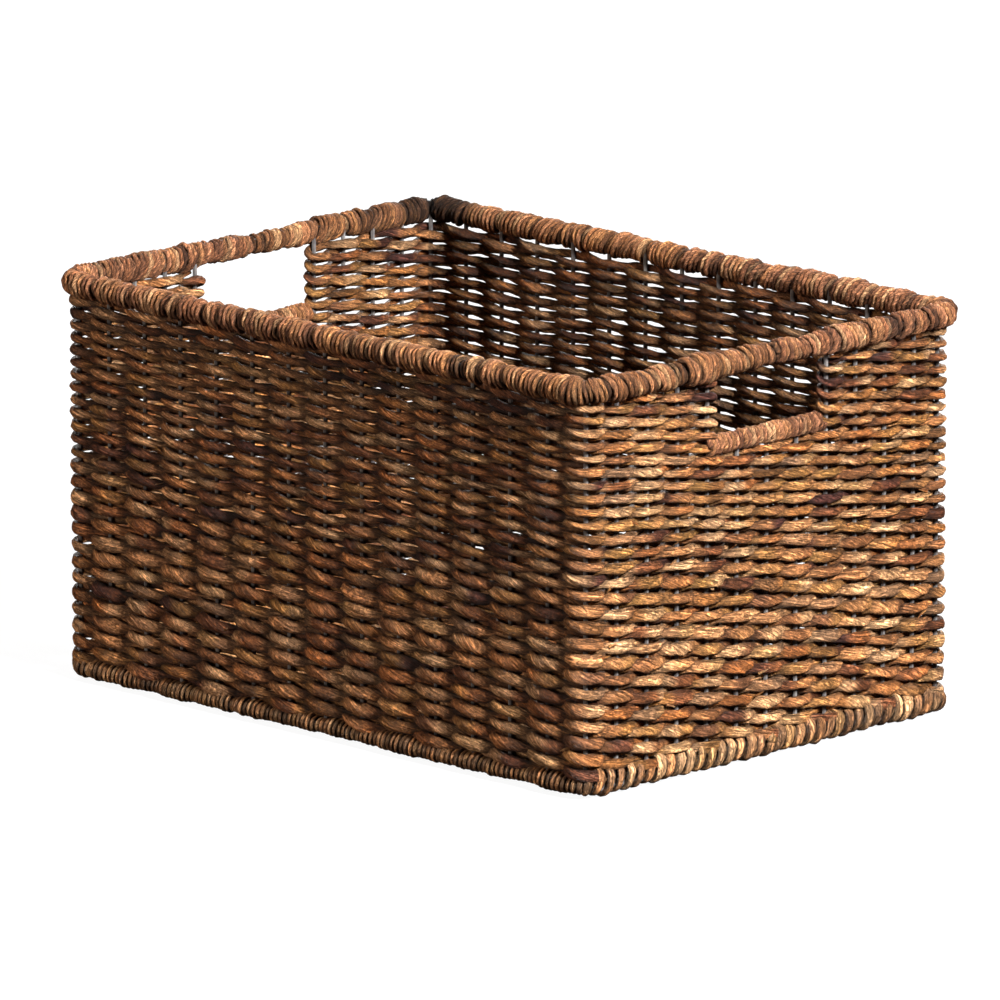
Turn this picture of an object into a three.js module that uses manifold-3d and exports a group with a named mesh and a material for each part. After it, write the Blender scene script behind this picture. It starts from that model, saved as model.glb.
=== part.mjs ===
// An open rectangular storage basket: strips of bark woven over and under the stakes of a
// wire frame, with twine wound round the rims and a hand hole in each short end.
// Millimetres, +Z up. The origin is on the ground, under the middle of the basket.
// The long sides face -Y and +Y. The short ends, with the hand holes, face -X and +X.

import * as THREE from 'three';
import { mergeVertices } from 'three/addons/utils/BufferGeometryUtils.js';
import Module from 'manifold-3d';

const wasm = await Module();
wasm.setup();

// Driving dimensions
const LENGTH = 457;
const WIDTH = 330;
const HEIGHT = 254;
const TOP_WRAP_RADIUS = 8.25;
const BASE_WRAP_RADIUS = 6.5;
const GRIP_WRAP_RADIUS = 6;
const ROD_RADIUS = 2.5;
const STAKE_RADIUS = 1.4;
const TOP_CORNER_RADIUS = 12;
const BASE_CORNER_RADIUS = 8;
const WEAVE_THICKNESS = 10.6;
const FLOOR_THICKNESS = 8;
const LONG_BAYS = 14;
const SHORT_BAYS = 12;
const GRIP_BAYS = 4;
const GRIP_DEPTH = 43;
const JAMB_WRAP = 6;
const CLEARANCE = 0.35;

// Heights of the frame's parts
const TOP_ROD_Z = HEIGHT - TOP_WRAP_RADIUS;
const BASE_ROD_Z = BASE_WRAP_RADIUS;
const BASE_WRAP_TOP = BASE_ROD_Z + ROD_RADIUS;
const FLOOR_WIRE_Z = BASE_ROD_Z + ROD_RADIUS + CLEARANCE + STAKE_RADIUS;
const WALL_BOTTOM = FLOOR_WIRE_Z + STAKE_RADIUS + CLEARANCE;
const WALL_TOP = TOP_ROD_Z - TOP_WRAP_RADIUS - CLEARANCE;
const GRIP_BAR_Z = TOP_ROD_Z - GRIP_DEPTH - GRIP_WRAP_RADIUS;
const UPPER_WALL_BOTTOM = GRIP_BAR_Z - GRIP_WRAP_RADIUS;
const LOWER_WALL_TOP = UPPER_WALL_BOTTOM - CLEARANCE;

// A loop is a rounded rectangle, seen from above. The stakes stand over the base rod, and the
// top rod runs round the outside of them.
const ROD_OFFSET = STAKE_RADIUS + ROD_RADIUS + CLEARANCE;
const topLoop = {
  halfLength: LENGTH / 2 - TOP_WRAP_RADIUS,
  halfWidth: WIDTH / 2 - TOP_WRAP_RADIUS,
  radius: TOP_CORNER_RADIUS,
};
const stakeLoop = offsetLoop(topLoop, -ROD_OFFSET);
const baseLoop = { ...stakeLoop, radius: BASE_CORNER_RADIUS };
const LONG_BAY = (2 * stakeLoop.halfLength) / LONG_BAYS;
const SHORT_BAY = (2 * stakeLoop.halfWidth) / SHORT_BAYS;
const GRIP_HALF_WIDTH = (GRIP_BAYS * SHORT_BAY) / 2;

const STAKE_SIDES = 6;
const CURVE_SEGMENTS = 3;
const STAKE_HOLE_RADIUS = (STAKE_RADIUS + CLEARANCE) / Math.cos(Math.PI / STAKE_SIDES);

const BARK = { color: 0x8a5a33, roughness: 0.75, metalness: 0 };
const TWINE = { color: 0x9b6c45, roughness: 0.85, metalness: 0 };
const IRON = { color: 0x3b3a3c, roughness: 0.45, metalness: 0.9 };

const basket = new THREE.Group();

function addPiece(name, geometry, look, position = [0, 0, 0]) {
  const mesh = new THREE.Mesh(geometry, new THREE.MeshStandardMaterial(look));
  mesh.name = name;
  mesh.position.set(...position);
  basket.add(mesh);
}

function toSolid(geometry) {
  const bare = geometry.clone();
  bare.deleteAttribute('normal');
  bare.deleteAttribute('uv');
  const merged = mergeVertices(bare);
  const vertProperties = new Float32Array(merged.attributes.position.array);
  const triVerts = new Uint32Array(merged.index.array);
  return new wasm.Manifold(new wasm.Mesh({ numProp: 3, vertProperties, triVerts }));
}

function toGeometry(solid) {
  const mesh = solid.getMesh();
  const geometry = new THREE.BufferGeometry();
  geometry.setAttribute('position', new THREE.BufferAttribute(mesh.vertProperties, 3));
  geometry.setIndex(new THREE.BufferAttribute(mesh.triVerts, 1));
  geometry.computeVertexNormals();
  return geometry;
}

function cut(geometry, tools) {
  return toGeometry(tools.reduce((solid, tool) => solid.subtract(toSolid(tool)), toSolid(geometry)));
}

function join(geometries) {
  return toGeometry(geometries.map(toSolid).reduce((solid, other) => solid.add(other)));
}

function offsetLoop(loop, distance) {
  return {
    halfLength: loop.halfLength + distance,
    halfWidth: loop.halfWidth + distance,
    radius: loop.radius + distance,
  };
}

function drawLoop(path, { halfLength, halfWidth, radius }) {
  const x = halfLength - radius;
  const y = halfWidth - radius;
  path.absarc(x, -y, radius, -Math.PI / 2, 0);
  path.absarc(x, y, radius, 0, Math.PI / 2);
  path.absarc(-x, y, radius, Math.PI / 2, Math.PI);
  path.absarc(-x, -y, radius, Math.PI, (3 * Math.PI) / 2);
  path.closePath();
  return path;
}

// The area within half a thickness of a loop.
function frameShape(loop, halfThickness) {
  const shape = drawLoop(new THREE.Shape(), offsetLoop(loop, halfThickness));
  shape.holes.push(drawLoop(new THREE.Path(), offsetLoop(loop, -halfThickness)));
  return shape;
}

// A flat-sided ring that follows a loop from one height to another.
function bandGeometry(loop, halfThickness, bottom, top, holes = []) {
  const shape = frameShape(loop, halfThickness);
  shape.holes.push(...holes);
  const settings = { depth: top - bottom, bevelEnabled: false, curveSegments: CURVE_SEGMENTS };
  return new THREE.ExtrudeGeometry(shape, settings).translate(0, 0, bottom);
}

// A ring of round section, with a narrow flat at its top, bottom and sides.
function ringGeometry(loop, radius, z) {
  const halfFlat = 0.3 * radius;
  const settings = {
    depth: 2 * halfFlat,
    bevelSize: radius - halfFlat,
    bevelThickness: radius - halfFlat,
    bevelSegments: 2,
    curveSegments: CURVE_SEGMENTS,
  };
  return new THREE.ExtrudeGeometry(frameShape(loop, halfFlat), settings).translate(0, 0, z - halfFlat);
}

function wireGeometry(radius, length, sides = STAKE_SIDES) {
  return new THREE.CylinderGeometry(radius, radius, length, sides);
}

function uprightWire(radius, bottom, top) {
  return wireGeometry(radius, top - bottom).rotateX(Math.PI / 2).translate(0, 0, (bottom + top) / 2);
}

// Places of the stakes on the loop that they stand on
const innerBays = (bays) => Array.from({ length: bays - 1 }, (_, index) => index + 1);
const longStakeXs = innerBays(LONG_BAYS).map((bay) => bay * LONG_BAY - stakeLoop.halfLength);
const shortStakeYs = innerBays(SHORT_BAYS).map((bay) => bay * SHORT_BAY - stakeLoop.halfWidth);
const cornerInset = stakeLoop.radius * (1 - Math.SQRT1_2);
const cornerX = stakeLoop.halfLength - cornerInset;
const cornerY = stakeLoop.halfWidth - cornerInset;
const longStakes = longStakeXs.flatMap((x) => [[x, -stakeLoop.halfWidth], [x, stakeLoop.halfWidth]]);
const shortStakes = shortStakeYs.flatMap((y) => [[-stakeLoop.halfLength, y], [stakeLoop.halfLength, y]]);
const corners = [[-cornerX, -cornerY], [cornerX, -cornerY], [cornerX, cornerY], [-cornerX, cornerY]];
const isUnderGrip = (y) => Math.abs(y) < GRIP_HALF_WIDTH - STAKE_RADIUS;

function addRims() {
  const channel = ROD_RADIUS + CLEARANCE;
  addPiece('top_rim_rod', ringGeometry(topLoop, ROD_RADIUS, TOP_ROD_Z), IRON);
  addPiece('base_rim_rod', ringGeometry(baseLoop, ROD_RADIUS, BASE_ROD_Z), IRON);

  // The stakes run up beside the top rod, so the wrap has a groove for them.
  const grooveTop = TOP_ROD_Z + CLEARANCE;
  const grooveBottom = TOP_ROD_Z - 2 * TOP_WRAP_RADIUS;
  const groove = bandGeometry(stakeLoop, STAKE_HOLE_RADIUS, grooveBottom, grooveTop);
  const topWrap = ringGeometry(topLoop, TOP_WRAP_RADIUS, TOP_ROD_Z);
  addPiece('top_rim_wrap', cut(topWrap, [ringGeometry(topLoop, channel, TOP_ROD_Z), groove]), TWINE);

  // The floor wires lie on the base rod, so its wrap stops level with the rod's top.
  const halfCover = BASE_WRAP_RADIUS + CLEARANCE;
  const above = bandGeometry(baseLoop, halfCover, BASE_WRAP_TOP, BASE_WRAP_TOP + halfCover);
  const baseWrap = ringGeometry(baseLoop, BASE_WRAP_RADIUS, BASE_ROD_Z);
  addPiece('base_rim_wrap', cut(baseWrap, [ringGeometry(baseLoop, channel, BASE_ROD_Z), above]), BARK);
}

// Each cross wire is two stakes in one length of wire: down one long side, over the floor
// and up the other.
function addCrossWires() {
  const run = wireGeometry(STAKE_RADIUS, 2 * (stakeLoop.halfWidth + STAKE_RADIUS));
  const leg = uprightWire(STAKE_RADIUS, -STAKE_RADIUS, TOP_ROD_Z - FLOOR_WIRE_Z);
  const wire = join([
    run,
    leg.clone().translate(0, -stakeLoop.halfWidth, 0),
    leg.clone().translate(0, stakeLoop.halfWidth, 0),
  ]);
  longStakeXs.forEach((x, index) => {
    addPiece(`cross_wire_${index + 1}`, wire, IRON, [x, 0, FLOOR_WIRE_Z]);
  });
}

function addEndStakes() {
  const bottom = BASE_WRAP_TOP + CLEARANCE;
  const full = uprightWire(STAKE_RADIUS, bottom, TOP_ROD_Z);
  const short = uprightWire(STAKE_RADIUS, bottom, GRIP_BAR_Z - ROD_RADIUS - CLEARANCE);
  for (const [end, side] of [['left', -1], ['right', 1]]) {
    shortStakeYs.forEach((y, index) => {
      const stake = isUnderGrip(y) ? short : full;
      addPiece(`${end}_stake_${index + 1}`, stake, IRON, [side * stakeLoop.halfLength, y, 0]);
    });
  }
  corners.forEach(([x, y], index) => {
    addPiece(`corner_post_${index + 1}`, full, IRON, [x, y, 0]);
  });
}

// A bar at the bottom of each hand hole, between the two stakes at its sides.
function addGrips() {
  const length = 2 * (GRIP_HALF_WIDTH - STAKE_RADIUS - CLEARANCE);
  const rod = wireGeometry(ROD_RADIUS, length, 8);
  const stakeHoles = shortStakeYs.filter(isUnderGrip).map((y) => (
    uprightWire(STAKE_HOLE_RADIUS, -2 * GRIP_WRAP_RADIUS, 0).translate(0, y, 0)
  ));
  const channel = wireGeometry(ROD_RADIUS + CLEARANCE, length + 2, 8);
  const wrap = cut(wireGeometry(GRIP_WRAP_RADIUS, length, 12), [channel, ...stakeHoles]);
  for (const [end, side] of [['left', -1], ['right', 1]]) {
    const place = [side * stakeLoop.halfLength, 0, GRIP_BAR_Z];
    addPiece(`${end}_grip_rod`, rod, IRON, place);
    addPiece(`${end}_grip_wrap`, wrap, TWINE, place);
  }
}

// The woven walls: one band all round up to the bars of the hand holes, and a front and a
// back band above it that stop at the hand holes.
function addWalls() {
  const stakeHoles = [...longStakes, ...shortStakes, ...corners].map(([x, y]) => (
    new THREE.Path().absarc(x, y, STAKE_HOLE_RADIUS, 0, 2 * Math.PI)
  ));
  const half = WEAVE_THICKNESS / 2;
  addPiece('woven_wall_lower', bandGeometry(stakeLoop, half, WALL_BOTTOM, LOWER_WALL_TOP, stakeHoles), BARK);

  const upper = toSolid(bandGeometry(stakeLoop, half, UPPER_WALL_BOTTOM, WALL_TOP, stakeHoles));
  const grips = [-1, 1].map((side) => (
    wireGeometry(GRIP_WRAP_RADIUS + CLEARANCE, 2 * GRIP_HALF_WIDTH, 12)
      .translate(side * stakeLoop.halfLength, 0, GRIP_BAR_Z)
  ));
  const jamb = GRIP_HALF_WIDTH - JAMB_WRAP;
  for (const [name, side] of [['front', -1], ['back', 1]]) {
    const keep = new THREE.BoxGeometry(LENGTH, WIDTH / 2, 2 * HEIGHT);
    keep.translate(0, side * (jamb + WIDTH / 4), 0);
    addPiece(`woven_wall_upper_${name}`, cut(toGeometry(upper.intersect(toSolid(keep))), grips), BARK);
  }
}

function addFloor() {
  const edge = offsetLoop(baseLoop, -BASE_WRAP_RADIUS - CLEARANCE);
  const outline = drawLoop(new THREE.Shape(), { ...edge, radius: STAKE_RADIUS });
  const settings = { depth: FLOOR_THICKNESS, bevelEnabled: false, curveSegments: 1 };
  const slab = new THREE.ExtrudeGeometry(outline, settings).translate(0, 0, -FLOOR_THICKNESS / 2);
  const channels = longStakeXs.map((x) => wireGeometry(STAKE_HOLE_RADIUS, WIDTH).translate(x, 0, 0));
  addPiece('woven_floor', cut(slab, channels), BARK, [0, 0, FLOOR_WIRE_Z]);
}

addRims();
addCrossWires();
addEndStakes();
addGrips();
addWalls();
addFloor();

export default basket;
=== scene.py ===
"""The looks of an open storage basket: strips of bark woven over and under the stakes of a
wire frame. Twine is wound round the top rim and the grips of the two hand holes, and bark
round the base rim.

Everything is in metres, in the part's own frame: the long sides face -Y and +Y, and the short
ends, with the hand holes, face -X and +X. Places come from the CAD nodes.
"""

import math
from dataclasses import dataclass

import bpy
import numpy as np
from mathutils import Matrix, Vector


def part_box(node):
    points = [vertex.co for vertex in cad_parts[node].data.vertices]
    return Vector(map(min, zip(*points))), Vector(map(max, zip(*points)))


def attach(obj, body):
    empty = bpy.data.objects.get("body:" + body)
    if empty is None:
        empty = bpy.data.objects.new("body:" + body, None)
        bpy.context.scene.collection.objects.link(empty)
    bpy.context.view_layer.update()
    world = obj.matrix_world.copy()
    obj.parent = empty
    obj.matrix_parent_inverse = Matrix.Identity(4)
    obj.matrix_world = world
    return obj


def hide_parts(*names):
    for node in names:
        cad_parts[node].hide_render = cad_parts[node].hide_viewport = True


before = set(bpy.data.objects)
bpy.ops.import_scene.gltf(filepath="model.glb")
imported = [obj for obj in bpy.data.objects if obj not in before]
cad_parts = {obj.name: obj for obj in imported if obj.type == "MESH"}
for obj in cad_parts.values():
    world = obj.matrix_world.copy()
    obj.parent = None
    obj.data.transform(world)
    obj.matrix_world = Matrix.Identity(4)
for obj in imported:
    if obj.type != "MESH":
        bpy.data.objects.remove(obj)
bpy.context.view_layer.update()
rng = np.random.default_rng(11)

MM = 0.001
TURN = 2 * math.pi
UP = np.array((0.0, 0.0, 1.0))
BODY = "root"

# The frame: its wire, the radii of its corners, and half a hand hole's width in bays
STAKE_RADIUS = 1.4 * MM
WALL_CORNER = 7.75 * MM
TOP_CORNER = 12 * MM
BASE_CORNER = 8 * MM
HOLE_HALF_BAYS = 2

# Rows of weave: how far apart they lie near the rim and near the floor, the heights between
# which that changes, how far the outermost rows lie from the wall's edges as a share of the
# pitch, how far rows sway, and how many make one piece
CLOSE_PITCH = 3.9 * MM
WIDE_PITCH = 5.0 * MM
PITCH_CHANGE = (0.095, 0.165)
EDGE_SHARE = 0.45
ROW_SWAY = 0.22 * MM
ROWS_PER_PIECE = 12

# A strip's half height over a stake and between stakes, as shares of the row pitch
CLOSE_CREST = 0.67
END_CREST = 0.72
LONG_CREST = 0.80
CROSSING_HEIGHT = 0.61

# A strip's half depth, the length over which it thickens or thins, and how far it leans
# between stakes
CREST_DEPTH = 2.2 * MM
CROSSING_DEPTH = 1.9 * MM
FLOOR_DEPTH = 1.8 * MM
LUMP_LENGTH = 21 * MM
LEAN = 0.16

# Steps of a strip: in each bay, past its ends under the next strip, and in a turn
STEPS_PER_BAY = 10
OVERLAP_STEPS = 4
TURN_STEPS = 7

# Painted shade: how dark a strip is between stakes, where it dives between its neighbours, and on the
# insides of the long walls
CROSSING_PAINTED_SHADE = 0.52
# Painted shade on the insides of the long walls
INNER_PAINTED_SHADE = 0.45

# How much of a strand's colour is the same all along, and how much its lightness varies
OWN_TONE = 0.35
LIGHT_CHANGE = 0.20

# The twine of the top rim and grips. The rim is pressed in at stakes and in random grooves,
# thinner over the hand holes, and thicker beside them.
TWINE_PITCH = 3.4 * MM
TWINE_STEPS = 26
TOP_RIM_PIECES = 4
SLIT_DEPTH = 1.8 * MM
GROOVE_DEPTH = 1.2 * MM
HOLE_THINNING = 0.9 * MM
HOLE_SIDE_BULGE = 1.1 * MM
GRIP_WINDING_RADIUS = 4.5 * MM
GRIP_SHIFT = 4 * MM

# The bark of the base rim, and how much closer all windings lie at the corners
BASE_LONG_PITCH = 3.8 * MM
BASE_END_PITCH = 8.5 * MM
BASE_STEPS = 24
BASE_LIFT = 3.6 * MM
CORNER_NARROWING = 0.40

# Ends of fibre and torn scraps of bark that stick out of the walls
LOOSE_FIBRES = 170
TORN_SCRAPS = 110


def ease(share):
    """A share between 0 and 1, made to start and stop gently."""
    share = np.clip(share, 0, 1)
    return share * share * (3 - 2 * share)


def mix(first, second, share):
    """The first value where the share is 0, and the second where it is 1."""
    return first + (second - first) * share


# --- The plan of the basket -------------------------------------------------------------


class Loop:
    """A rounded rectangle seen from above. A place on it is a length from the middle of the
    right end, anticlockwise."""

    def __init__(self, half_length, half_width, radius):
        x, y = half_length - radius, half_width - radius
        arc = radius * math.pi / 2
        runs = [0, y, arc, 2 * x, arc, 2 * y, arc, 2 * x, arc, y]
        self.knots = np.cumsum(runs)
        self.centre_x = [x, x, x, -x, -x, -x, -x, x, x, x]
        self.centre_y = [0, y, y, y, y, -y, -y, -y, -y, 0]
        self.angle = np.radians([0, 0, 90, 90, 180, 180, 270, 270, 360, 360])
        self.radius = radius
        self.length = self.knots[-1]

    def outward(self, places):
        angle = np.interp(places % self.length, self.knots, self.angle)
        return np.stack([np.cos(angle), np.sin(angle), 0 * angle], axis=-1)

    def on_end(self, places):
        """1 on the short ends, 0 on the long sides."""
        return self.outward(places)[:, 0] ** 2

    def on_corner(self, places):
        """1 round a corner, 0 on the straight sides."""
        x, y, _ = np.abs(self.outward(places)).T
        return ease(2.5 * math.sqrt(2) * np.minimum(x, y))

    def at(self, places, out=0.0, z=0.0):
        """Points at these places, moved outwards and up."""
        wrapped = places % self.length
        x = np.interp(wrapped, self.knots, self.centre_x)
        y = np.interp(wrapped, self.knots, self.centre_y)
        centre = np.stack([x, y, 0 * x + z], axis=-1)
        return centre + self.outward(places) * np.reshape(self.radius + out, (-1, 1))

    def nearest(self, x, y):
        samples = np.linspace(0, self.length, 40000, endpoint=False)
        gap = self.at(samples)[:, :2] - (x, y)
        return samples[np.argmin((gap**2).sum(axis=1))]


def middle(node):
    low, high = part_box(node)
    return (low + high) / 2


def nodes_named(prefix):
    return [name for name in sorted(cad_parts) if name.startswith(prefix)]


def half_size(node):
    low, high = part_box(node)
    return (high - low) / 2


def ring_loop(node, radius, corner):
    """The centre line of a rim, from its outside, the radius of its section and its corners."""
    half_length, half_width, _ = half_size(node)
    return Loop(half_length - radius, half_width - radius, corner)


TOP_WRAP_RADIUS = half_size("top_rim_wrap")[2]
TOP_ROD_Z = middle("top_rim_rod").z
ROD_RADIUS = half_size("top_rim_rod")[2]
GRIP_Z = middle("right_grip_rod").z
GRIP_HALF_WIDTH = half_size("right_grip_wrap")[1]
WALL_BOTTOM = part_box("woven_wall_lower")[0].z
WALL_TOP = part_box("woven_wall_upper_front")[1].z
GRIP_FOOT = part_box("woven_wall_lower")[1].z
FLOOR_Z = middle("woven_floor").z

stake_x = middle("right_stake_1").x
stake_y = half_size("cross_wire_1")[1] - STAKE_RADIUS
stake_loop = Loop(stake_x, stake_y, WALL_CORNER)
top_loop = ring_loop("top_rim_wrap", TOP_WRAP_RADIUS, TOP_CORNER)
base_loop = ring_loop("base_rim_rod", ROD_RADIUS, BASE_CORNER)
wire_xs = sorted(middle(name).x for name in nodes_named("cross_wire_"))


def find_stakes():
    """Every stake's place on the loop. The first is in the middle of the right end."""
    upright = nodes_named("left_stake_") + nodes_named("right_stake_") + nodes_named("corner_post_")
    points = [(middle(name).x, middle(name).y) for name in upright]
    points += [(x, side * stake_y) for x in wire_xs for side in (-1, 1)]
    return np.sort([stake_loop.nearest(x, y) for x, y in points])


stakes = find_stakes()
BAYS = len(stakes)
stake_line = np.append(stakes, stakes[0] + stake_loop.length)


def place_of(bays):
    """The place on the stake loop that lies this many bays from the first stake."""
    turns = np.floor(bays / BAYS)
    return turns * stake_loop.length + np.interp(bays - turns * BAYS, range(BAYS + 1), stake_line)


# --- Seeded irregularity ----------------------------------------------------------------


def drift(places, wavelength):
    """A smooth random line between -1 and 1, with a new value at each wavelength."""
    steps = np.abs(places - places[0]) / wavelength
    index = steps.astype(int)
    values = rng.uniform(-1, 1, index.max() + 2)
    return mix(values[index], values[index + 1], ease(steps - index))


# Slow waves, each with its turns round the basket, its change with height, and its start
waves = [(rng.integers(2, 14), rng.uniform(8, 60), rng.uniform(0, TURN)) for _ in range(10)]


def sway(places, z):
    """How far the rows stray up or down, the same for rows that lie together."""
    around = TURN * places / stake_loop.length
    return ROW_SWAY * sum(np.sin(turns * around + rise * z + phase) for turns, rise, phase in waves)


# --- Strands ----------------------------------------------------------------------------


@dataclass
class Fibre:
    """What a strand is made of. section(angle, along) scales its radius and turns with the
    twist, and crumple moves every point at random. Its tones, picked by their shares, change
    at each patch, and its edges, where it meets its neighbours, are darkened by the edge
    shade, which is painted shade."""

    section: callable
    sides: int
    twist: float
    crumple: float
    tones: np.ndarray
    shares: np.ndarray
    patch: float
    edge_painted_shade: float


def unit(vectors):
    return vectors / np.maximum(np.linalg.norm(vectors, axis=-1, keepdims=True), 1e-12)


def lengths_along(path):
    steps = np.linalg.norm(np.diff(path, axis=0), axis=1)
    return np.concatenate([[0], np.cumsum(steps)])


def sweep(fibre, path, side_way, half_side, half_up):
    """Rings of a strand along a path, and the grain's coordinates at each of their points."""
    along = lengths_along(path)[:, None]
    forward = unit(np.gradient(path, axis=0))
    side = unit(side_way - forward * (side_way * forward).sum(axis=1, keepdims=True))
    up = np.cross(forward, side)
    angle = np.linspace(0, TURN, fibre.sides, endpoint=False)
    turned = angle - fibre.twist * rng.uniform(0.1, 1.2) * along
    scale = fibre.section(turned, along) + fibre.crumple * rng.normal(0, 1, turned.shape)
    across = (half_side[:, None] * scale * np.cos(angle))[..., None] * side[:, None, :]
    rise = (half_up[:, None] * scale * np.sin(angle))[..., None] * up[:, None, :]
    start = rng.uniform(0, 50)
    grain = np.stack([start + along + 0 * turned, np.cos(turned), np.sin(turned)], axis=-1)
    return path[:, None, :] + across + rise, grain


def tone_line(fibre, along):
    """A strand's colour at each step: its own tone, and others that take over on the way."""
    patches = along / fibre.patch
    index = patches.astype(int)
    picked = fibre.tones[rng.choice(len(fibre.tones), index.max() + 2, p=fibre.shares)]
    share = ease((patches - index) * 2 - 0.5)[:, None]
    wandering = mix(picked[index], picked[index + 1], share)
    own = fibre.tones[rng.choice(len(fibre.tones), p=fibre.shares)]
    light = 1 + LIGHT_CHANGE * drift(along, fibre.patch / 2)[:, None]
    return mix(wandering, own, OWN_TONE) * light


class Strands:
    """Collects swept strands and makes one mesh of them."""

    def __init__(self, material, slot):
        self.material, self.slot = material, slot
        self.points, self.faces, self.grain, self.colours = [], [], [], []
        self.count = 0

    def lay(self, fibre, path, side_way, half_side, half_up, shade=1.0):
        """Adds a strand. half_side is measured roughly along side_way, and half_up across it.
        shade is a number, or one for each step, and the strand's edges get painted shade."""
        rings, grain = sweep(fibre, path, side_way, half_side, half_up)
        # Painted shade along the top and bottom edges, where a strand meets its neighbours
        edges = np.abs(np.sin(np.linspace(0, TURN, fibre.sides, endpoint=False))) ** 3
        light = np.reshape(shade, (-1, 1)) * (1 - fibre.edge_painted_shade * edges)
        colours = tone_line(fibre, lengths_along(path))[:, None, :] * light[..., None]
        self.add(rings, grain, colours)

    def add(self, rings, grain, colours):
        steps, sides = rings.shape[:2]
        index = self.count + np.arange(steps * sides).reshape(steps, sides)
        after = np.roll(index, -1, axis=1)
        quads = np.stack([index[:-1], after[:-1], after[1:], index[1:]], axis=-1)
        self.faces.extend(quads.reshape(-1, 4).tolist())
        self.faces.append(index[0, ::-1].tolist())
        self.faces.append(index[-1].tolist())
        self.points.append(rings.reshape(-1, 3))
        self.grain.append(grain.reshape(-1, 3))
        self.colours.append(colours.reshape(-1, 3))
        self.count += steps * sides

    def build(self, name, *replaced):
        mesh = bpy.data.meshes.new(name)
        mesh.from_pydata(np.concatenate(self.points).tolist(), [], self.faces)
        mesh.polygons.foreach_set("use_smooth", [True] * len(mesh.polygons))
        grain = mesh.attributes.new("grain", "FLOAT_VECTOR", "POINT")
        grain.data.foreach_set("vector", np.concatenate(self.grain).ravel())
        tint = mesh.attributes.new("tint", "FLOAT_COLOR", "POINT")
        colours = np.concatenate(self.colours)
        colours = np.concatenate([colours, np.ones((len(colours), 1))], axis=1)
        tint.data.foreach_set("color", colours.ravel())
        mesh.materials.append(self.material)
        piece = bpy.data.objects.new(name, mesh)
        bpy.context.scene.collection.objects.link(piece)
        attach(piece, BODY)
        if replaced:
            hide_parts(*replaced)


# --- Kinds of fibre ---------------------------------------------------------------------

STRAW = (0.76, 0.42, 0.20)
TAN = (0.53, 0.225, 0.082)
OCHRE = (0.43, 0.20, 0.056)
GINGER = (0.46, 0.155, 0.042)
BROWN = (0.26, 0.088, 0.031)
UMBER = (0.11, 0.034, 0.014)
PLUM = (0.085, 0.028, 0.020)
ROSE = (0.50, 0.205, 0.096)

BARK_TONES = np.array([STRAW, TAN, OCHRE, GINGER, BROWN, UMBER, PLUM])
BARK_SHARES = np.array([0.17, 0.24, 0.13, 0.12, 0.15, 0.10, 0.09])
TWINE_TONES = 0.80 * np.array([STRAW, ROSE, TAN, BROWN, UMBER])
TWINE_SHARES = np.array([0.15, 0.25, 0.24, 0.22, 0.14])


def folded(angle, along):
    """The section of a strip of folded bark."""
    first, second, third = rng.uniform(0, TURN, 3)
    slow = np.sin(along / (9 * MM) + third)
    folds = 0.11 * np.cos(2 * angle + first + slow) + 0.08 * np.cos(3 * angle + second)
    return 1 + folds + 0.05 * np.sin(4 * angle + along / (2.5 * MM) + third)


def plied(angle, along):
    """The section of a cord of two plies."""
    return 1 + 0.20 * np.cos(2 * angle) + 0 * along


STRIP = Fibre(
    folded, sides=12, twist=TURN / (38 * MM), crumple=0.050,
    tones=BARK_TONES, shares=BARK_SHARES, patch=20 * MM, edge_painted_shade=0.75)
FLAT_STRIP = Fibre(
    folded, sides=12, twist=0.0, crumple=0.050,
    tones=BARK_TONES, shares=BARK_SHARES, patch=17 * MM, edge_painted_shade=0.90)
CORD = Fibre(
    plied, sides=8, twist=TURN / (9 * MM), crumple=0.050,
    tones=TWINE_TONES, shares=TWINE_SHARES, patch=24 * MM, edge_painted_shade=0.70)
SCRAP = Fibre(
    folded, sides=6, twist=0.0, crumple=0.0,
    tones=BARK_TONES[:4], shares=np.full(4, 0.25), patch=8 * MM, edge_painted_shade=0.2)


# --- Strips of bark in the walls and floor ----------------------------------------------


def wide_share(z):
    """0 where the rows lie close, near the rim, and 1 where they lie wide, near the floor."""
    low, high = PITCH_CHANGE
    return ease((high - z) / (high - low))


def row_pitch(z):
    return mix(CLOSE_PITCH, WIDE_PITCH, wide_share(z))


def row_heights():
    """Row heights, from the top row down to the lowest. They are spread or drawn together a
    little so that the top row just meets the rim."""
    lowest = WALL_BOTTOM + EDGE_SHARE * WIDE_PITCH
    highest = WALL_TOP - EDGE_SHARE * CLOSE_PITCH
    heights = [lowest]
    while heights[-1] + 0.5 * CLOSE_PITCH < highest:
        heights.append(heights[-1] + row_pitch(heights[-1]))
    spread = (highest - lowest) / (heights[-1] - lowest)
    return [lowest + (z - lowest) * spread for z in reversed(heights)]


def strip_height(places, z, fullness):
    """A strip's half height, as a share of the row pitch. Strips stay wide for longer on the
    long sides."""
    on_end = stake_loop.on_end(places)
    crest = mix(CLOSE_CREST, mix(LONG_CREST, END_CREST, on_end), wide_share(z))
    return mix(CROSSING_HEIGHT, crest, fullness ** mix(0.45, 1, on_end))


def swing_out(swing, half_depth):
    """How far out the middle of a strip lies. It stays out for longer than a plain wave."""
    return (STAKE_RADIUS + half_depth) * np.sign(swing) * np.abs(swing) ** 0.85


def weave_path(bays, z, parity):
    """A strip's line over and under the stakes, as columns: x, y, z, its swing, and its half
    height. The swing is 1 outside a stake, 0 between stakes and -1 inside a stake."""
    phase = math.pi * (bays + parity)
    swing = np.cos(phase)
    pitch = row_pitch(z)
    places = place_of(bays)
    lean = LEAN * (1 + 0.7 * drift(bays, 1.5))
    height = z + sway(places, z) - lean * pitch * np.sin(phase)
    points = stake_loop.at(places, swing_out(swing, CREST_DEPTH), height)
    return np.column_stack([points, swing, pitch * strip_height(places, z, np.abs(swing))])


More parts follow.
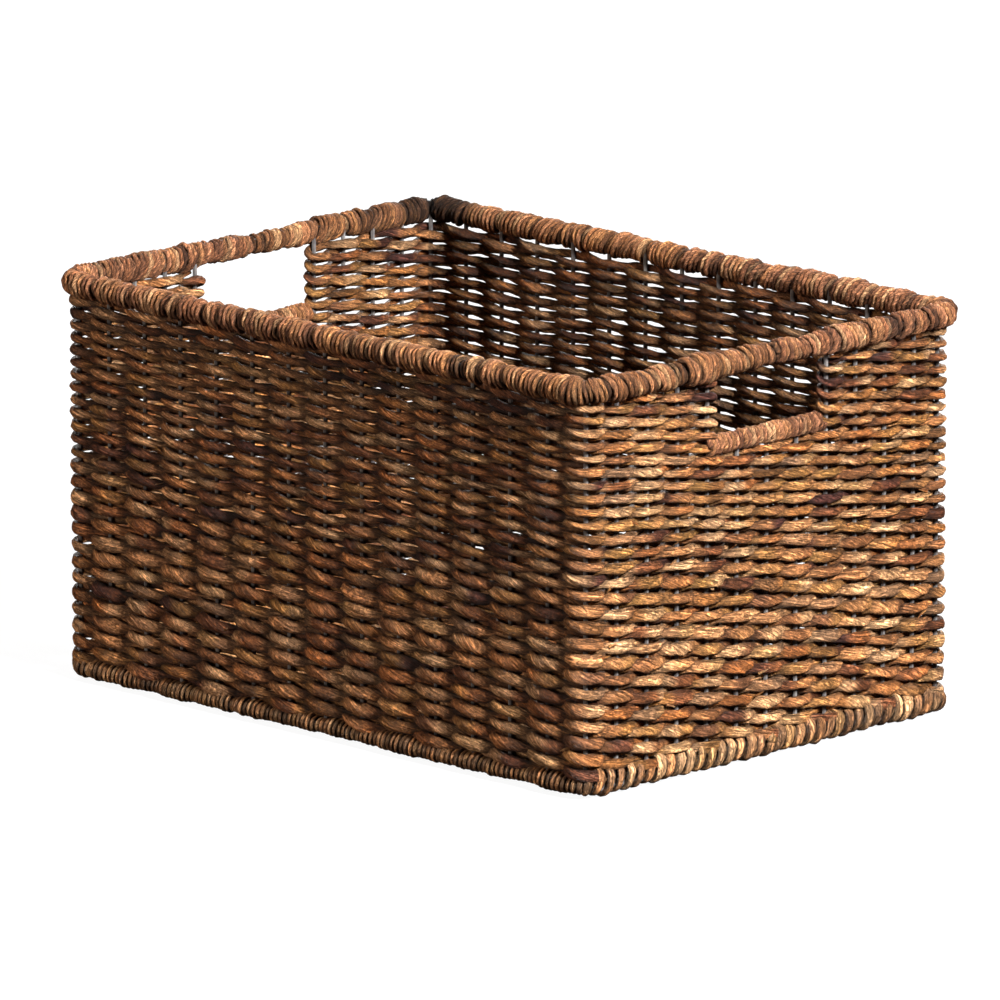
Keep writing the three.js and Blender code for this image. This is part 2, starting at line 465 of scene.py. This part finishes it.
def taper(count, steps):
    """1 along a strip, falling towards its ends over these many steps."""
    from_end = np.minimum(np.arange(count), np.arange(count)[::-1])
    return mix(0.35, 1, np.clip(from_end / steps, 0, 1))


def weave_shade(fullness):
    """Painted shade: strips are darker where they dive between their neighbours."""
    return mix(CROSSING_PAINTED_SHADE, 1, ease(1.6 * fullness))


def inner_shade(path, swing):
    """Painted shade: the insides of the long walls are darker."""
    on_long_side = np.abs(path[:, 1]) > stake_y - 6 * MM
    return 1 - INNER_PAINTED_SHADE * on_long_side * ease(0.5 - swing)


def add_strip(strands, line):
    path, swing, half_up = line[:, :3], line[:, 3], line[:, 4]
    fullness = np.abs(swing)
    along = lengths_along(path)
    size = (1 + 0.15 * drift(along, LUMP_LENGTH)) * rng.uniform(0.93, 1.07) * taper(len(path), 6)
    half_side = mix(CROSSING_DEPTH, CREST_DEPTH, fullness) * size
    side_way = np.cross(unit(np.gradient(path, axis=0)), UP)
    shade = weave_shade(fullness) * inner_shade(path, swing)
    strands.lay(STRIP, path, side_way, half_side, half_up * size, shade)


def strip_ends(first, last):
    """Splits a row into strips of 16 to 36 bays, each from a stake that it passes behind."""
    ends = [first]
    while ends[-1] < last:
        ends.append(ends[-1] + 2 * rng.integers(8, 19))
    if last - ends[-2] < 12 and len(ends) > 2:
        ends.pop()
    ends[-1] = last
    return list(zip(ends[:-1], ends[1:]))


def add_closed_row(strands, z, parity):
    """A row that goes all the way round. Its strips overlap behind a stake."""
    first = 2 * int(rng.integers(BAYS // 2)) + 1 - parity
    overlap = OVERLAP_STEPS / STEPS_PER_BAY
    for start, end in strip_ends(first, first + BAYS):
        bays = np.arange(start - overlap, end + overlap, 1 / STEPS_PER_BAY)
        add_strip(strands, weave_path(bays, z, parity))


def turn_line(before, after):
    """Half a turn round the last stake, from the end of one row to the start of the next."""
    start, end = before[-1, :3], after[0, :3]
    centre = (start + end) / 2
    radius = (start - end) / 2
    ahead = unit(before[-1, :3] - before[-2, :3]) * np.linalg.norm(radius)
    angle = np.linspace(0, math.pi, TURN_STEPS + 2)[1:-1, None]
    points = centre + radius * np.cos(angle) + ahead * np.sin(angle)
    swing = np.full(TURN_STEPS, 0.8)
    half_height = np.full(TURN_STEPS, before[-1, 4] * 0.9)
    return np.column_stack([points, swing, half_height])


def add_serpentine(strands, heights, first, last):
    """Rows that turn back round the stakes beside the hand holes, as one line cut into strips."""
    lines = []
    for index, z in enumerate(heights):
        bays = np.arange(first, last + 0.5 / STEPS_PER_BAY, 1 / STEPS_PER_BAY)
        if index % 2:
            bays = bays[::-1]
        line = weave_path(bays, z, index + first)
        if lines:
            lines.append(turn_line(lines[-1], line))
        lines.append(line)
    line = np.concatenate(lines)
    for start, end in strip_ends(0, len(line) // STEPS_PER_BAY):
        add_strip(strands, line[start * STEPS_PER_BAY : end * STEPS_PER_BAY + OVERLAP_STEPS])


def weave_walls(bark):
    heights = row_heights()
    upper = [z for z in heights if z > GRIP_FOOT + 0.3 * CLOSE_PITCH]
    lower = heights[len(upper) :]
    for first in range(0, len(lower), ROWS_PER_PIECE):
        strands = Strands(bark, "bark")
        for row, z in enumerate(lower[first : first + ROWS_PER_PIECE]):
            add_closed_row(strands, z, (first + row) % 2)
        strands.build(f"weave_lower_{first // ROWS_PER_PIECE + 1}", "woven_wall_lower")
    for side, hole in (("back", 0), ("front", BAYS // 2)):
        strands = Strands(bark, "bark")
        first, last = hole + HOLE_HALF_BAYS, hole + BAYS // 2 - HOLE_HALF_BAYS
        add_serpentine(strands, upper, first, last)
        strands.build("weave_upper_" + side, "woven_wall_upper_" + side)


def weave_floor(bark):
    """Strips along the basket, over and under the cross wires."""
    low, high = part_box("woven_floor")
    rows = int((high.y - low.y) / WIDE_PITCH)
    bay = wire_xs[1] - wire_xs[0]
    xs = np.linspace(low.x, high.x, int((high.x - low.x) / bay * STEPS_PER_BAY))
    strands = Strands(bark, "bark")
    for row in range(rows):
        y = (row - (rows - 1) / 2) * WIDE_PITCH
        phase = math.pi * ((xs - wire_xs[0]) / bay + row)
        swing = np.cos(phase)
        fullness = np.abs(swing)
        height = FLOOR_Z + swing_out(swing, CROSSING_DEPTH)
        path = np.stack([xs, y - LEAN * WIDE_PITCH * np.sin(phase), height], axis=-1)
        size = 1 + 0.12 * drift(xs, LUMP_LENGTH)
        half_across = WIDE_PITCH * mix(CROSSING_HEIGHT, LONG_CREST, fullness)
        upward = np.tile(UP, (len(xs), 1))
        strands.lay(STRIP, path, upward, FLOOR_DEPTH * size, half_across * size, weave_shade(fullness))
    strands.build("weave_floor", "woven_floor")


# --- Twine and bark wound round the rims ------------------------------------------------


def twine_width(places):
    return TWINE_PITCH + 0 * places


def twine_half(places):
    """Half the thickness of the twine, which is lumpy."""
    return 0.5 * TWINE_PITCH * (1.03 + 0.20 * drift(places, 3.5 * MM))


def base_strip_width(places):
    """Strips on the base rim are wide on the ends and narrower on the long sides."""
    return mix(BASE_LONG_PITCH, BASE_END_PITCH, base_loop.on_end(places))


def winding_steps(loop, width_at, steps_per_turn):
    """Turns made, and the place reached, at each step of a winding that closes on itself. Its
    turns lie closer together at the corners."""
    sample = np.linspace(0, loop.length, 8000)
    narrowing = 1 - CORNER_NARROWING * loop.on_corner(sample[1:])
    made = np.cumsum(np.diff(sample) / (width_at(sample[1:]) * narrowing))
    made = np.concatenate([[0], made])
    made *= round(made[-1]) / made[-1]
    turns = np.linspace(0, made[-1], round(made[-1]) * steps_per_turn + 1)
    return turns, np.interp(turns, made, sample)


def wound(centres, outward, turns, radius):
    """A line wound round other points, and the way from the middle at each of its own."""
    angle = TURN * turns[:, None]
    away = outward * np.cos(angle) + UP * np.sin(angle)
    return centres + away * np.reshape(radius, (-1, 1)), away


def over_stakes(places):
    """1 where the top rim passes over a stake, falling to 0 within a few millimetres of it."""
    stake_places = stake_line * top_loop.length / stake_loop.length
    bay = np.interp(places, stake_places, range(BAYS + 1))
    gap = np.abs(bay - np.round(bay)) * top_loop.length / BAYS
    return np.exp(-((gap / (2.4 * MM)) ** 2))


def over_hand_holes(places):
    """1 where the top rim passes over a hand hole."""
    from_middle = np.abs(top_loop.at(places)[:, 1])
    return top_loop.on_end(places) * ease((GRIP_HALF_WIDTH + 4 * MM - from_middle) / (8 * MM))


def beside_hand_holes(places):
    """1 where the top rim passes over the stakes at the sides of a hand hole."""
    from_stake = np.abs(top_loop.at(places)[:, 1]) - GRIP_HALF_WIDTH - 7 * MM
    return top_loop.on_end(places) * np.exp(-((from_stake / (9 * MM)) ** 2))


def top_rim_radius(places, slit, groove):
    """How far the middle of the twine is from the middle of the rim."""
    lumps = 0.70 * MM * drift(places, 13 * MM) + 0.45 * MM * drift(places, 4 * MM)
    pressed_in = SLIT_DEPTH * slit + GROOVE_DEPTH * groove
    by_holes = HOLE_SIDE_BULGE * beside_hand_holes(places) - HOLE_THINNING * over_hand_holes(places)
    return TOP_WRAP_RADIUS - TWINE_PITCH / 2 + lumps - pressed_in + by_holes


def top_rim_stain(places):
    """1 at the back left corner, where the twine is dark, and 0 away from it."""
    corner = top_loop.nearest(-stake_x, stake_y)
    gap = np.abs(places - corner) / (44 * MM)
    return np.exp(-(gap**4))


def wind_top_rim(twine):
    """Twine wound round the top rod, with slanting turns, and slits and grooves pressed in and darkened
    with painted shade.
    """
    loop = top_loop
    turns, places = winding_steps(loop, twine_width, TWINE_STEPS)
    slit = over_stakes(places)
    groove = ease(5 * drift(places, 5 * MM) - 2.8)
    radius = top_rim_radius(places, slit, groove)
    half = twine_half(places) * (1 - 0.12 * loop.on_corner(places))
    # Painted shade in the slits and grooves, and a dark stain at the back left corner
    shade = (1 - 0.65 * slit) * (1 - 0.65 * groove) * (1 - 0.80 * top_rim_stain(places))
    shade *= 1.04 + 0.28 * drift(places, 16 * MM)
    height = TOP_ROD_Z + 0.5 * MM * drift(places, 30 * MM)
    slant = 2.6 * MM * (0.5 + 0.9 * drift(places, 22 * MM))
    places = places - slant * np.sin(TURN * turns)
    path, away = wound(loop.at(places, z=height), loop.outward(places), turns, radius)
    last = len(turns) - 1
    for part in range(TOP_RIM_PIECES):
        cut = slice(part * last // TOP_RIM_PIECES, (part + 1) * last // TOP_RIM_PIECES + 1)
        strands = Strands(twine, "twine")
        strands.lay(CORD, path[cut], away[cut], half[cut], half[cut], shade[cut])
        strands.build(f"top_rim_winding_{part + 1}", "top_rim_wrap")


def wind_base_rim(bark):
    """Bark wound over the base rod, thicker and taller on the ends than on the long sides."""
    loop = base_loop
    turns, places = winding_steps(loop, base_strip_width, BASE_STEPS)
    end = loop.on_end(places)
    half_width = 0.5 * base_strip_width(places) * (0.90 + 0.20 * drift(places, 6 * MM))
    half_thick = mix(1.2 * MM, 2.2 * MM, end) * (1 + 0.30 * drift(places, 5 * MM))
    half_height = mix(4.6 * MM, 6.0 * MM, end) + 0.4 * MM * drift(places, 14 * MM)
    half_depth = mix(4.9 * MM, 4.3 * MM, end)
    sideways = np.cos(TURN * turns) ** 2
    radius = mix(half_height, half_depth, sideways) + 0.8 * MM * drift(places, 6 * MM)
    centres = loop.at(places, z=half_height + BASE_LIFT)
    path, away = wound(centres, loop.outward(places), turns, radius)
    # Random changes of tone, dimmed overall, and painted shade that leaves the long sides darker than
    # the ends
    shade = (1 + 0.25 * drift(places, 18 * MM)) * mix(0.62, 0.70, end)
    strands = Strands(bark, "bark")
    strands.lay(FLAT_STRIP, path, away, half_thick, half_width, shade)
    strands.build("base_rim_winding", "base_rim_wrap")


def wind_grips(twine):
    for end, side in (("left", -1.0), ("right", 1.0)):
        count = round(2 * GRIP_HALF_WIDTH / TWINE_PITCH)
        turns = np.linspace(0, count, count * TWINE_STEPS + 1)
        ys = np.linspace(-GRIP_HALF_WIDTH, GRIP_HALF_WIDTH, len(turns)) - GRIP_SHIFT
        centres = np.stack([0 * ys + middle(end + "_grip_wrap").x, ys, 0 * ys + GRIP_Z], axis=-1)
        outward = np.tile((side, 0.0, 0.0), (len(ys), 1))
        half = twine_half(ys)
        radius = GRIP_WINDING_RADIUS + 0.5 * MM * drift(ys, 8 * MM)
        path, away = wound(centres, outward, turns, radius)
        strands = Strands(twine, "twine")
        strands.lay(CORD, path, away, half, half, 1 + 0.25 * drift(ys, 12 * MM))
        strands.build(end + "_grip_winding", end + "_grip_wrap")


# --- Loose ends -------------------------------------------------------------------------


def add_loose_end(strands, length, half_side, half_up):
    """A short curled end that starts in the weave and sticks out of it."""
    place = rng.uniform(0, stake_loop.length)
    z = rng.uniform(WALL_BOTTOM + 5 * MM, GRIP_FOOT - 5 * MM)
    share = np.linspace(0, 1, 9)
    places = place + rng.choice((-1, 1)) * length * share
    out = STAKE_RADIUS + 2.2 * MM + rng.uniform(0.8, 2.4) * MM * share**1.5
    height = z + sway(places, z) + rng.uniform(-0.45, 0.45) * length * share**1.4
    path = stake_loop.at(places, out, height)
    side_way = np.cross(unit(np.gradient(path, axis=0)), UP)
    thin = 1 - 0.7 * share
    strands.lay(SCRAP, path, side_way, half_side * thin, half_up * thin)


def add_loose_ends(bark):
    strands = Strands(bark, "bark")
    for _ in range(LOOSE_FIBRES):
        add_loose_end(strands, rng.uniform(5, 16) * MM, 0.18 * MM, 0.22 * MM)
    for _ in range(TORN_SCRAPS):
        add_loose_end(strands, rng.uniform(4, 9) * MM, 0.25 * MM, rng.uniform(0.7, 1.5) * MM)
    strands.build("loose_ends")


# --- Materials --------------------------------------------------------------------------


def new_material(name):
    material = bpy.data.materials.new(name)
    material.use_nodes = True
    return material, material.node_tree, material.node_tree.nodes["Principled BSDF"]


def add_node(tree, kind, links=(), **settings):
    """A node with some inputs set by name, and others linked from (socket, input name) pairs."""
    node = tree.nodes.new(kind)
    for name, value in settings.items():
        if name in node.inputs:
            node.inputs[name].default_value = value
        else:
            setattr(node, name, value)
    for socket, name in links:
        tree.links.new(socket, node.inputs[name])
    return node


def grain_noise(tree, stretch, detail, distortion=0.0):
    """Noise in the strand's own coordinates: along it, and round it."""
    grain = add_node(tree, "ShaderNodeAttribute", attribute_name="grain")
    scaled = add_node(tree, "ShaderNodeVectorMath", [(grain.outputs["Vector"], 0)],
                      operation="MULTIPLY")
    scaled.inputs[1].default_value = stretch
    noise = add_node(tree, "ShaderNodeTexNoise", [(scaled.outputs[0], "Vector")],
                     Scale=1.0, Detail=detail, Roughness=0.6, Distortion=distortion)
    return noise.outputs["Fac"]


def remap(tree, socket, low, high, to_low, to_high):
    node = add_node(tree, "ShaderNodeMapRange", [(socket, "Value")])
    for name, value in (("From Min", low), ("From Max", high), ("To Min", to_low), ("To Max", to_high)):
        node.inputs[name].default_value = value
    return node.outputs["Result"]


def calculate(tree, operation, first, second):
    """Arithmetic on two sockets, or on a socket and a number."""
    node = add_node(tree, "ShaderNodeMath", [(first, 0)], operation=operation)
    if isinstance(second, float):
        node.inputs[1].default_value = second
    else:
        tree.links.new(second, node.inputs[1])
    return node.outputs[0]


def crease_lines(tree, noise, width, depth):
    """1, falling to a depth along the thin lines where the noise crosses its middle value."""
    offset = calculate(tree, "SUBTRACT", noise, 0.5)
    gap = calculate(tree, "ABSOLUTE", offset, 0.0)
    return remap(tree, gap, 0.0, width, depth, 1.0)


def strand_material(name, fibre_stretch, wrinkle_stretch, roughness, bump):
    """Plant fibre: the strand's own tint, streaked along its grain, with painted shade in the hollows
    of its wrinkles and along its thin creases.
    """
    material, tree, shader = new_material(name)
    tint = add_node(tree, "ShaderNodeAttribute", attribute_name="tint")
    fibres = grain_noise(tree, fibre_stretch, 4.0)
    wrinkles = grain_noise(tree, wrinkle_stretch, 3.0, 1.6)
    streaks = remap(tree, fibres, 0.30, 0.70, 0.50, 1.60)
    # Painted shade: darker in the hollows of the wrinkles and along the creases, which the bump also
    # sinks
    painted_hollow_shade = remap(tree, wrinkles, 0.34, 0.66, 0.45, 1.40)
    creases = calculate(tree, "MULTIPLY", crease_lines(tree, fibres, 0.035, 0.25),
                        crease_lines(tree, wrinkles, 0.030, 0.35))
    shade = calculate(tree, "MULTIPLY", calculate(tree, "MULTIPLY", streaks, painted_hollow_shade), creases)
    colour = add_node(tree, "ShaderNodeVectorMath", [(tint.outputs["Color"], 0), (shade, 1)],
                      operation="MULTIPLY")
    tree.links.new(colour.outputs[0], shader.inputs["Base Color"])
    gloss = remap(tree, fibres, 0.3, 0.7, roughness + 0.12, roughness - 0.12)
    tree.links.new(gloss, shader.inputs["Roughness"])
    height = calculate(tree, "ADD", calculate(tree, "ADD", fibres, wrinkles), creases)
    relief = add_node(tree, "ShaderNodeBump", [(height, "Height")], Strength=1.0, Distance=bump)
    tree.links.new(relief.outputs["Normal"], shader.inputs["Normal"])
    shader.inputs["Specular IOR Level"].default_value = 0.2
    return material


def iron_material():
    material, tree, shader = new_material("iron")
    place = add_node(tree, "ShaderNodeTexCoord")
    noise = add_node(tree, "ShaderNodeTexNoise", [(place.outputs["Object"], "Vector")],
                     Scale=160.0, Detail=5.0)
    ramp = add_node(tree, "ShaderNodeValToRGB", [(noise.outputs["Fac"], "Fac")])
    ramp.color_ramp.elements[0].position = 0.35
    ramp.color_ramp.elements[0].color = (0.08, 0.07, 0.07, 1)
    ramp.color_ramp.elements[1].position = 0.70
    ramp.color_ramp.elements[1].color = (0.18, 0.165, 0.155, 1)
    tree.links.new(ramp.outputs["Color"], shader.inputs["Base Color"])
    tree.links.new(remap(tree, noise.outputs["Fac"], 0.3, 0.7, 0.40, 0.60), shader.inputs["Roughness"])
    shader.inputs["Metallic"].default_value = 0.2
    return material


# --- The basket -------------------------------------------------------------------------

bark = strand_material(
    "bark", fibre_stretch=(34, 3.0, 3.0), wrinkle_stretch=(210, 1.3, 1.3),
    roughness=0.55, bump=1.2 * MM)
wide_bark = strand_material(
    "wide_bark", fibre_stretch=(34, 1.1, 1.1), wrinkle_stretch=(150, 0.8, 0.8),
    roughness=0.55, bump=1.2 * MM)
twine = strand_material(
    "twine", fibre_stretch=(140, 2.2, 2.2), wrinkle_stretch=(420, 1.6, 1.6),
    roughness=0.72, bump=0.7 * MM)
iron = iron_material()

weave_walls(bark)
weave_floor(bark)
wind_top_rim(twine)
wind_base_rim(wide_bark)
wind_grips(twine)
add_loose_ends(bark)

# The nodes that no strands stand in for are the wires and rods
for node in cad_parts.values():
    if not node.hide_render:
        node.data.materials.clear()
        node.data.materials.append(iron)


# --- Studio -----------------------------------------------------------------------------

WHITE = (1, 1, 1)
WARM = (1, 0.86, 0.74)
FLOOR_GLOW = 0.93
WORLD_LIGHT = 0.05

# The camera: angles in degrees, its distance and height in metres, its lens in millimetres
CAMERA_AZIMUTH = 44.65
CAMERA_ELEVATION = 13.03
CAMERA_DISTANCE = 8.2
CAMERA_LENS = 490.0
CAMERA_ASIDE = -3.6 * MM
CAMERA_HEIGHT = 0.121


def add_floor():
    """A white floor that glows, so that it stays pale away from the lamps."""
    bpy.ops.mesh.primitive_plane_add(size=60, location=(0, 0, 0))
    floor = bpy.context.object
    floor.name = "studio_floor"
    material, _, shader = new_material("studio_floor")
    shader.inputs["Base Color"].default_value = (0.12, 0.12, 0.12, 1)
    shader.inputs["Roughness"].default_value = 1.0
    shader.inputs["Specular IOR Level"].default_value = 0.0
    shader.inputs["Emission Color"].default_value = (1, 1, 1, 1)
    shader.inputs["Emission Strength"].default_value = FLOOR_GLOW
    floor.data.materials.append(material)
    floor.visible_diffuse = False
    floor.visible_glossy = False


def aim(thing, target, azimuth, elevation, distance):
    """Puts a lamp or camera at this angle round a target, looking at it. Azimuth 0 looks
    along +Y."""
    a, e = math.radians(azimuth), math.radians(elevation)
    away = np.array((math.sin(a) * math.cos(e), -math.cos(a) * math.cos(e), math.sin(e)))
    thing.location = np.array(target) + away * distance
    thing.rotation_euler = (math.pi / 2 - e, 0, a)


def add_lamp(name, azimuth, elevation, distance, size, power, colour):
    lamp = bpy.data.lights.new(name, "AREA")
    lamp.size = size
    lamp.energy = power
    lamp.color = colour
    holder = bpy.data.objects.new(name, lamp)
    bpy.context.scene.collection.objects.link(holder)
    aim(holder, (0, 0, 0.12), azimuth, elevation, distance)


def add_camera():
    camera = bpy.data.objects.new("camera", bpy.data.cameras.new("camera"))
    bpy.context.scene.collection.objects.link(camera)
    camera.data.lens = CAMERA_LENS
    camera.data.sensor_width = 36
    camera.data.clip_end = 100
    azimuth = math.radians(CAMERA_AZIMUTH)
    target = (CAMERA_ASIDE * math.cos(azimuth), CAMERA_ASIDE * math.sin(azimuth), CAMERA_HEIGHT)
    aim(camera, target, CAMERA_AZIMUTH, CAMERA_ELEVATION, CAMERA_DISTANCE)
    bpy.context.scene.camera = camera


def add_world():
    world = bpy.data.worlds.new("studio")
    world.use_nodes = True
    world.node_tree.nodes["Background"].inputs["Color"].default_value = (1, 1, 1, 1)
    world.node_tree.nodes["Background"].inputs["Strength"].default_value = WORLD_LIGHT
    bpy.context.scene.world = world


add_floor()
add_world()
add_lamp("key", azimuth=87, elevation=36, distance=3.0, size=0.9, power=400, colour=WHITE)
add_lamp("fill", azimuth=-36, elevation=8, distance=4.0, size=1.0, power=124, colour=WARM)
add_lamp("back", azimuth=218, elevation=22, distance=4.0, size=1.5, power=120, colour=WHITE)
add_camera()
bpy.context.scene.view_settings.view_transform = "Standard"
